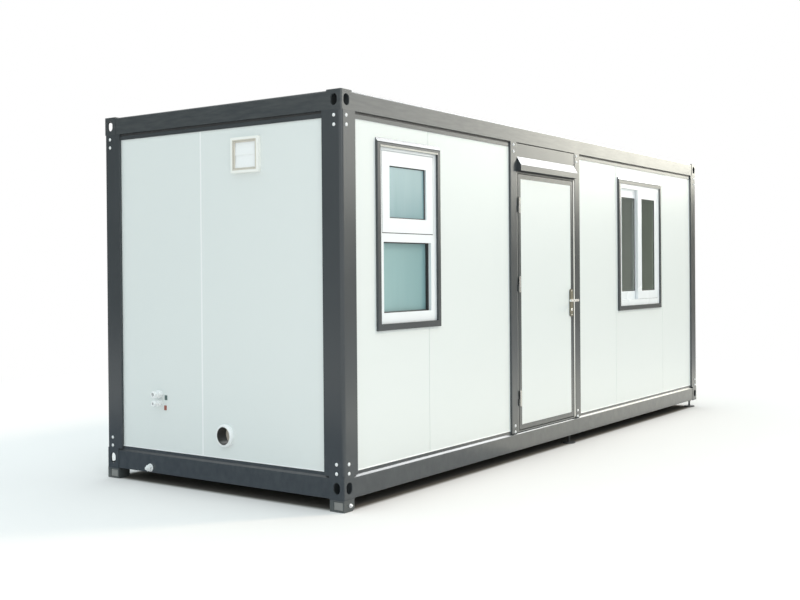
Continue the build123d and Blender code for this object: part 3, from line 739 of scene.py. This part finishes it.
def inlet_unions():
    """Two rounded union rings on each water inlet."""
    bm = bmesh.new()
    edge = 0.002
    for rise, radius in zip(inlet_rises, inlet_radii):
        mouth = (inlets_low.x, back_y - inlet_from_back, floor_z + rise)
        bore = radius - 0.0005
        for gap, length, lip in union_rings:
            outer = radius + lip
            end = gap + length
            profile = [(bore, gap), (outer - edge, gap), (outer, gap + edge),
                       (outer, end - edge), (outer - edge, end), (bore, end)]
            tube(bm, mouth, (1, 0, 0), profile, 24)
    new_object("inlet_unions", bm, pipe_white, "cabin")


def drain_collar():
    """A rounded collar round the drain stub, against the wall."""
    bm = bmesh.new()
    reach = wall_x - drain_low.x - 0.002
    profile = [(collar_bore, 0.0), (collar_radius, 0.0), (collar_radius, reach * 0.75),
               (collar_radius - 0.003, reach * 0.93), (collar_radius - 0.007, reach), (collar_bore, reach)]
    tube(bm, (wall_x, drain_middle.y, drain_middle.z), (-1, 0, 0), profile, 48)
    new_object("drain_collar", bm, pipe_white, "cabin")


def vent_bevel():
    """A bevel between the vent's border and its flap, painted beige as the shade in the vent's recess."""
    bm = bmesh.new()
    low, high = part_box("vent_frame")
    flap_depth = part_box("vent_flap")[0].x - low.x
    profile = [(vent_border - 0.010, 0.0), (vent_border - 0.010, 0.001), (vent_border - 0.002, 0.001),
               (vent_border + 0.008, -flap_depth), (vent_border, -flap_depth), (vent_border, 0.0)]
    mitred_ring(bm, (low.y, low.z), (high.y, high.z), profile, lambda u, v, h: (low.x - h, u, v))
    new_object("vent_bevel", bm, vent_painted_shade, "cabin")


inlets_low, inlets_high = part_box("water_inlets")
inlet_tag("upper_inlet_tag", tag_from_back[0], inlets_high.z - tag_drop[0], tag_green)
inlet_tag("lower_inlet_tag", tag_from_back[1], inlets_low.z - tag_drop[1], tag_red)
inlet_unions()
drain_collar()
vent_bevel()


# Sealant and rubber in the walls, and painted shade in their grooves


def wall_faces():
    """Each wall's outer face: two ends of a level line on it, at zero height, and the way out."""
    faces = []
    for wall in ("left_wall", "right_wall"):
        low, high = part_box(wall)
        x, out = (low.x, -1) if wall == "left_wall" else (high.x, 1)
        faces.append((Vector((x, low.y, 0.0)), Vector((x, high.y, 0.0)), Vector((out, 0, 0))))
    for wall in ("front_wall_left", "front_wall_right", "back_wall"):
        low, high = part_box(wall)
        y, out = (high.y, 1) if wall == "back_wall" else (low.y, -1)
        faces.append((Vector((low.x, y, 0.0)), Vector((high.x, y, 0.0)), Vector((0, out, 0))))
    return faces


def joint_seals():
    """Beads of sealant in the upright joints of the end walls."""
    bm = bmesh.new()
    y = back_y - end_joint_from_back
    for start, _, out in wall_faces()[:2]:
        foot = (start.x, y, floor_z + base_lip)
        head = (start.x, y, head_z - head_lip)
        half_round(bm, foot, head, (0, 1, 0), out, joint_seal_width, joint_seal_height)
    new_object("joint_seals", bm, seal_white, "cabin")


def foot_seals():
    """Beads of sealant along the foot of the walls, on top of the base lip."""
    bm = bmesh.new()
    rise = Vector((0, 0, floor_z + base_lip + foot_seal_width / 2))
    for start, end, out in wall_faces():
        half_round(bm, start + rise, end + rise, (0, 0, 1), out, foot_seal_width, foot_seal_height)
    new_object("foot_seals", bm, seal_white, "cabin")


def groove_painted_shade():
    """Dark strips of painted shade in the grooves under the roof beams, where the beams' overhang shades
    the wall tops.
    """
    bm = bmesh.new()
    wall_setback = wall_x - left_x
    for start, end, out in wall_faces():
        back = out * (wall_setback - groove_setback)
        corners = [start + back, end + back + out * groove_shade_thickness]
        low = [min(c[axis] for c in corners) for axis in range(2)]
        high = [max(c[axis] for c in corners) for axis in range(2)]
        bar(bm, (*low, head_z - groove_height), (*high, head_z - 0.0005), 0.0008)
    new_object("groove_painted_shade", bm, rubber_and_painted_shade, "cabin")


joint_seals()
foot_seals()
groove_painted_shade()


# Windows


def pane_gaskets_and_shade():
    """Rubber round each window pane; the deep ring round the lower left pane is painted shade in its
    reveal.
    """
    bm = bmesh.new()
    width = gasket_width
    for pane, reach in gasket_and_shade_reaches.items():
        low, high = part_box(pane)
        profile = [(0.0, 0.0), (0.0, reach), (width * 0.7, reach), (width, reach - width * 0.3),
                   (width, 0.0)]
        mitred_ring(bm, (low.x, low.z), (high.x, high.z), profile, lambda u, v, h: (u, low.y - h, v))
    new_object("pane_gaskets_and_shade", bm, rubber_and_painted_shade, "cabin")


def sash_gap_painted_shade():
    """Dark strips of painted shade in the gap below and on the left of the top-hung sash."""
    bm = bmesh.new()
    low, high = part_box("left_window_frame")
    y0 = low.y + sash_shade_depth
    y1 = y0 + sash_shade_thickness
    x0 = low.x + sash_margin
    x1 = high.x - sash_margin
    z0 = low.z + sash_rise
    z1 = high.z - sash_head_margin
    bar(bm, (x0 - sash_gap, y0, z0 - sash_gap), (x1, y1, z0), 0.0005)
    bar(bm, (x0 - sash_gap, y0, z0), (x0, y1, z1), 0.0005)
    new_object("sash_gap_painted_shade", bm, rubber_and_painted_shade, "cabin")


def slide_gap_painted_shade():
    """Grey strips of painted shade over the inner sash and under the outer sash of the sliding window."""
    bm = bmesh.new()
    low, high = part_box("right_window_frame")
    middle = (low.x + high.x) / 2
    top = high.z - slide_margin
    bottom = low.z + slide_sill
    outer_x = middle - slide_lap
    for x0, x1, z in ((low.x + slide_margin, outer_x, top), (outer_x, high.x - slide_margin, bottom)):
        bar(bm, (x0, low.y - slide_shade_thickness, z - slide_shade_height / 2),
            (x1, low.y + slide_shade_thickness, z + slide_shade_height / 2), 0.0005)
    new_object("slide_gap_painted_shade", bm, painted_shade_grey, "cabin")


def window_caps():
    """Sloping caps on top of the window surrounds, closed at both ends."""
    bm = bmesh.new()
    for surround in ("left_window_surround", "right_window_surround"):
        low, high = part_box(surround)
        section = [(high.y, high.z), (low.y, high.z), (low.y, high.z + cap_rim),
                   (high.y - cap_rim, high.z + cap_rise), (high.y, high.z + cap_rise)]
        ends = [[bm.verts.new((x, y, z)) for y, z in section] for x in (low.x, high.x)]
        join_rings(bm, *ends)
        bm.faces.new(ends[0])
        bm.faces.new(ends[1][::-1])
    new_object("window_caps", bm, frame_paint, "cabin")


def window_head_painted_shade():
    """A pale grey strip of painted shade along the head of the left window, over the lower edge of its
    surround, where the surround shades the frame's head.
    """
    bm = bmesh.new()
    low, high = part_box("left_window_frame")
    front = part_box("left_window_surround")[0].y
    bar(bm, (low.x, front - window_head_shade_thickness, high.z), (high.x, front, high.z + window_head_shade_height), 0.0005)
    new_object("window_head_painted_shade", bm, window_head_shade_grey, "cabin")


pane_gaskets_and_shade()
sash_gap_painted_shade()
slide_gap_painted_shade()
window_caps()
window_head_painted_shade()


# Door furniture


def door_strips():
    """A dark strip of painted shade along the head of the door frame, under the hood, and a pale strip
    down its closing side that is partly a seal and partly a painted highlight.
    """
    low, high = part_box("door_frame")
    side_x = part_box("door_post_right")[0].x - 0.002
    y = low.y - strip_thickness
    seal_z = high.z - 0.001
    bm = bmesh.new()
    # Painted shade under the door's hood
    bar(bm, (low.x + 0.002, y, seal_z - head_strip_height), (high.x - 0.002, low.y, seal_z), 0.0015)
    new_object("door_head_painted_shade", bm, rubber_and_painted_shade, "cabin")
    bm = bmesh.new()
    bar(bm, (side_x - strip_width, y, low.z + 0.012), (side_x, low.y, seal_z - head_strip_height), 0.0015)
    new_object("closing_strip", bm, strip_seal_and_highlight, "cabin")


def lock_furniture():
    """Key cylinder, a dark bar of painted shade for its slit, and the screws of the lock plate."""
    low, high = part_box("lock_plate")
    x = (low.x + high.x) / 2
    z = low.z + cylinder_rise
    radius = cylinder_radius
    screw = lock_screw_radius
    bm = bmesh.new()
    cylinder = [(radius * 1.35, 0.0), (radius * 1.25, 0.002), (radius, 0.0025), (radius * 0.95, 0.005)]
    lathe(bm, (x, low.y, z), (0, -1, 0), cylinder, 20)
    for screw_z in (low.z + lock_screw_inset, high.z - lock_screw_inset):
        head = [(screw, 0.0), (screw * 0.8, 0.0018), (screw * 0.3, 0.0024)]
        lathe(bm, (x, low.y, screw_z), (0, -1, 0), head, 14)
    new_object("lock_furniture", bm, bright_steel, "door")
    bm = bmesh.new()
    # A dark bar of painted shade standing for the keyway's slit
    bar(bm, (x - 0.001, low.y - 0.0056, z - 0.0055), (x + 0.001, low.y - 0.005, z + 0.0055), 0.0002)
    new_object("key_slit_painted_shade", bm, rubber_and_painted_shade, "door")


def hinge_caps():
    """Domed caps on the free ends of the hinge knuckles."""
    lower_z = hinges_low.z + hinge_height / 2
    upper_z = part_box("door_hinge_leaves")[1].z - hinge_height / 2
    middle_z = lower_z + (upper_z - lower_z) * middle_hinge_share
    dome = [(hinge_radius, 0.0), (hinge_radius * 0.94, 0.0015), (hinge_radius * 0.7, 0.003),
            (hinge_radius * 0.3, cap_height)]
    for name, body, up in (("hinge_feet", "cabin", -1), ("hinge_caps", "door", 1)):
        bm = bmesh.new()
        for z in (lower_z, middle_z, upper_z):
            lathe(bm, (hinge_axis.x, hinge_axis.y, z + up * hinge_height / 2), (0, 0, up), dome, 18)
        new_object(name, bm, barrel_steel, body, smooth=True)


door_strips()
lock_furniture()
hinge_caps()


# Roof


def roof_screws():
    """Rows of screws with washers on the ribs of the roof sheet."""
    bm = bmesh.new()
    low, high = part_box("roof_sheet")
    ribs = int((high.x - low.x - rib_base) / rib_pitch)
    radius = roof_screw_radius
    for rib in range(ribs):
        x = (low.x + high.x) / 2 + (rib - (ribs - 1) / 2) * rib_pitch
        for row in range(roof_screw_rows):
            place = (x, low.y + (high.y - low.y) * (row + 0.5) / roof_screw_rows, high.z)
            lathe(bm, place, (0, 0, 1), [(radius, 0.0), (radius, 0.0015), (radius * 0.55, 0.002)], 12)
            lathe(bm, place, (0, 0, 1), [(radius * 0.5, 0.002), (radius * 0.5, 0.006)], 6)
    new_object("roof_screws", bm, bolt_zinc, "cabin")


roof_screws()


# Stage, light and camera


def seen_plainly(tree):
    """1 for rays from the camera and for those that metal and glass show, 0 for the rest."""
    rays = add(tree, "ShaderNodeLightPath")
    seen = rays.outputs["Is Camera Ray"]
    for kind in ("Is Glossy Ray", "Is Transmission Ray"):
        seen = maths(tree, "MAXIMUM", seen, rays.outputs[kind])
    return seen


def mix_shaders(tree, share, first, second, output):
    """Sends a mix of two shaders to an output."""
    mixed = add(tree, "ShaderNodeMixShader")
    tree.links.new(share, mixed.inputs["Fac"])
    tree.links.new(first, mixed.inputs[1])
    tree.links.new(second, mixed.inputs[2])
    tree.links.new(mixed.outputs["Shader"], tree.nodes[output].inputs["Surface"])


def stage_plane(name, corners, material):
    """A flat sheet of the stage."""
    mesh = bpy.data.meshes.new(name)
    mesh.from_pydata(corners, [], [(0, 1, 2, 3)])
    mesh.materials.append(material)
    sheet = bpy.data.objects.new(name, mesh)
    scene.collection.objects.link(sheet)
    return sheet


def floor():
    """A wide pale floor with a painted dark shadow under the cabin, plain white away from it."""
    material, tree, shader, place = start_material("floor")
    middle = ((left_x + right_x) / 2, (front_y + back_y) / 2, 0.0)
    under = None
    for across, half in (((1.0, 0.0, 0.0), right_x - middle[0]), ((0.0, 1.0, 0.0), back_y - middle[1])):
        distance = distance_from_line(tree, place, middle, across)
        inside = spread(tree, distance, 1.0, 0.0, half - shade_edge, half)
        under = maths(tree, "MULTIPLY", under, inside) if under else inside
    # Painted shadow: the floor's colour is dark under the cabin's footprint
    colour = blend(tree, under, (0.92, 0.875, 0.86), (0.24, 0.22, 0.20))
    tree.links.new(colour, shader.inputs["Base Color"])
    shader.inputs["Roughness"].default_value = 0.9
    shader.inputs["Specular IOR Level"].default_value = 0.0
    distance = distance_from_line(tree, place, (0.0, 0.0, 0.0), (1.0, 1.0, 0.0))
    share = maths(tree, "MULTIPLY", spread(tree, distance, 0.0, 1.0, *white_span), seen_plainly(tree))
    white = add(tree, "ShaderNodeEmission", Strength=1.0)
    mix_shaders(tree, share, shader.outputs["BSDF"], white.outputs["Emission"], "Material Output")
    half = floor_half
    corners = [(-half, -half, 0.0), (half, -half, 0.0), (half, half, 0.0), (-half, half, 0.0)]
    stage_plane("floor", corners, material)


def reflector(name, corners, colour):
    """A card of one brightness that only reflections see, in place of the white behind it."""
    material, _, shader, _ = start_material(name)
    shader.inputs["Base Color"].default_value = (0.0, 0.0, 0.0, 1.0)
    shader.inputs["Specular IOR Level"].default_value = 0.0
    shader.inputs["Emission Color"].default_value = (*colour, 1.0)
    shader.inputs["Emission Strength"].default_value = 1.0
    sheet = stage_plane(name, corners, material)
    sheet.visible_camera = False
    sheet.visible_diffuse = False
    sheet.visible_transmission = False
    sheet.visible_shadow = False


def studio_world(horizon, zenith, colour):
    """White where it is seen; as light, soft and cool, growing from the horizon to overhead."""
    world = bpy.data.worlds.new("studio")
    scene.world = world
    world.use_nodes = True
    tree = world.node_tree
    lit = tree.nodes["Background"]
    lit.inputs["Color"].default_value = (*colour, 1.0)
    upward = axis_value(tree, add(tree, "ShaderNodeTexCoord").outputs["Generated"], "Z")
    tree.links.new(spread(tree, upward, horizon, zenith, 0.0, 1.0), lit.inputs["Strength"])
    white = add(tree, "ShaderNodeBackground", Strength=1.0, Color=(1.0, 1.0, 1.0, 1.0))
    seen = seen_plainly(tree)
    mix_shaders(tree, seen, lit.outputs["Background"], white.outputs["Background"], "World Output")


def new_lamp(name, kind, power, colour, place, towards):
    """A lamp at a place that shines away from the direction it comes from."""
    light = bpy.data.lights.new(name, kind)
    light.energy = power
    light.color = colour
    lamp = bpy.data.objects.new(name, light)
    lamp.location = place
    lamp.rotation_mode = "QUATERNION"
    lamp.rotation_quaternion = Vector(towards).to_track_quat("Z", "Y")
    scene.collection.objects.link(lamp)
    return lamp


def sheen_card(name, y_range, z_range, radiance, colour):
    """A bright card to the right that only reflections see, for the sheen along the sunny side."""
    width = y_range[1] - y_range[0]
    height = z_range[1] - z_range[0]
    place = (sheen_x, sum(y_range) / 2, sum(z_range) / 2)
    lamp = new_lamp(name, "AREA", radiance * math.pi * width * height, colour, place, (1, 0, 0))
    lamp.rotation_mode = "XYZ"
    lamp.rotation_euler = (0.0, math.pi / 2, 0.0)
    lamp.data.shape = "RECTANGLE"
    lamp.data.size = height
    lamp.data.size_y = width
    lamp.visible_diffuse = False
    lamp.visible_camera = False


def ground_sheen(x_range, y_range, radiance, colour):
    """A card on the floor that only reflections see, for the glow low on the sunny side."""
    width = x_range[1] - x_range[0]
    depth = y_range[1] - y_range[0]
    place = (sum(x_range) / 2, sum(y_range) / 2, ground_sheen_z)
    lamp = new_lamp("ground_sheen", "AREA", radiance * math.pi * width * depth, colour, place, (0, 0, -1))
    lamp.rotation_mode = "XYZ"
    lamp.rotation_euler = (math.pi, 0.0, 0.0)
    lamp.data.shape = "RECTANGLE"
    lamp.data.size = width
    lamp.data.size_y = depth
    lamp.visible_diffuse = False
    lamp.visible_camera = False


def camera():
    """The photograph's camera; the shift is the photograph's own off-centre framing."""
    data = bpy.data.cameras.new("camera")
    data.sensor_width = 36.0
    data.lens = 46.18
    data.shift_x = -0.1605
    data.shift_y = -0.0294
    body = bpy.data.objects.new("camera", data)
    body.location = (-8.1096, -5.7460, 1.5980)
    body.rotation_euler = [math.radians(a) for a in (89.618, 0.397, -58.493)]
    scene.collection.objects.link(body)
    scene.camera = body


floor()
reflector("end_flag", end_flag_corners, (0.12, 0.12, 0.12))
reflector("low_flag", low_flag_corners, (0.06, 0.11, 0.21))
reflector("front_card", front_card_corners, (0.50, 0.465, 0.39))
studio_world(0.28, 1.55, (0.855, 0.975, 1.0))
sun = new_lamp("sun", "SUN", sun_strength, (1.0, 0.77, 0.55), (0, 0, 0), (0.62, -0.55, 0.56))
sun.data.angle = sun_angle
fill = new_lamp("fill", "AREA", fill_power, (1.0, 1.0, 1.0), (-7.0, -8.0, 5.0), (-4.0, -7.0, 3.8))
fill.data.size = fill_size
room_light = new_lamp("room_light", "AREA", room_power, (1.0, 1.0, 1.0), (-1.6, 0.2, 2.5), (0, 0, 1))
room_light.data.size = room_size
room_light.visible_camera = False
sheen_card("near_sheen", (-28.0, -11.0), (3.6, 9.0), 2.9, (1.0, 0.97, 0.86))
sheen_card("far_sheen", (-11.0, 1.0), (3.75, 9.0), 7.8, (1.0, 0.97, 0.83))
sheen_card("high_sheen", (-13.0, 3.0), (9.0, 21.0), 10.5, (0.97, 0.99, 1.0))
ground_sheen((-0.5, 7.0), (-5.0, -1.4), 1.25, (1.0, 0.95, 0.80))
camera()
scene.view_settings.view_transform = "Standard"
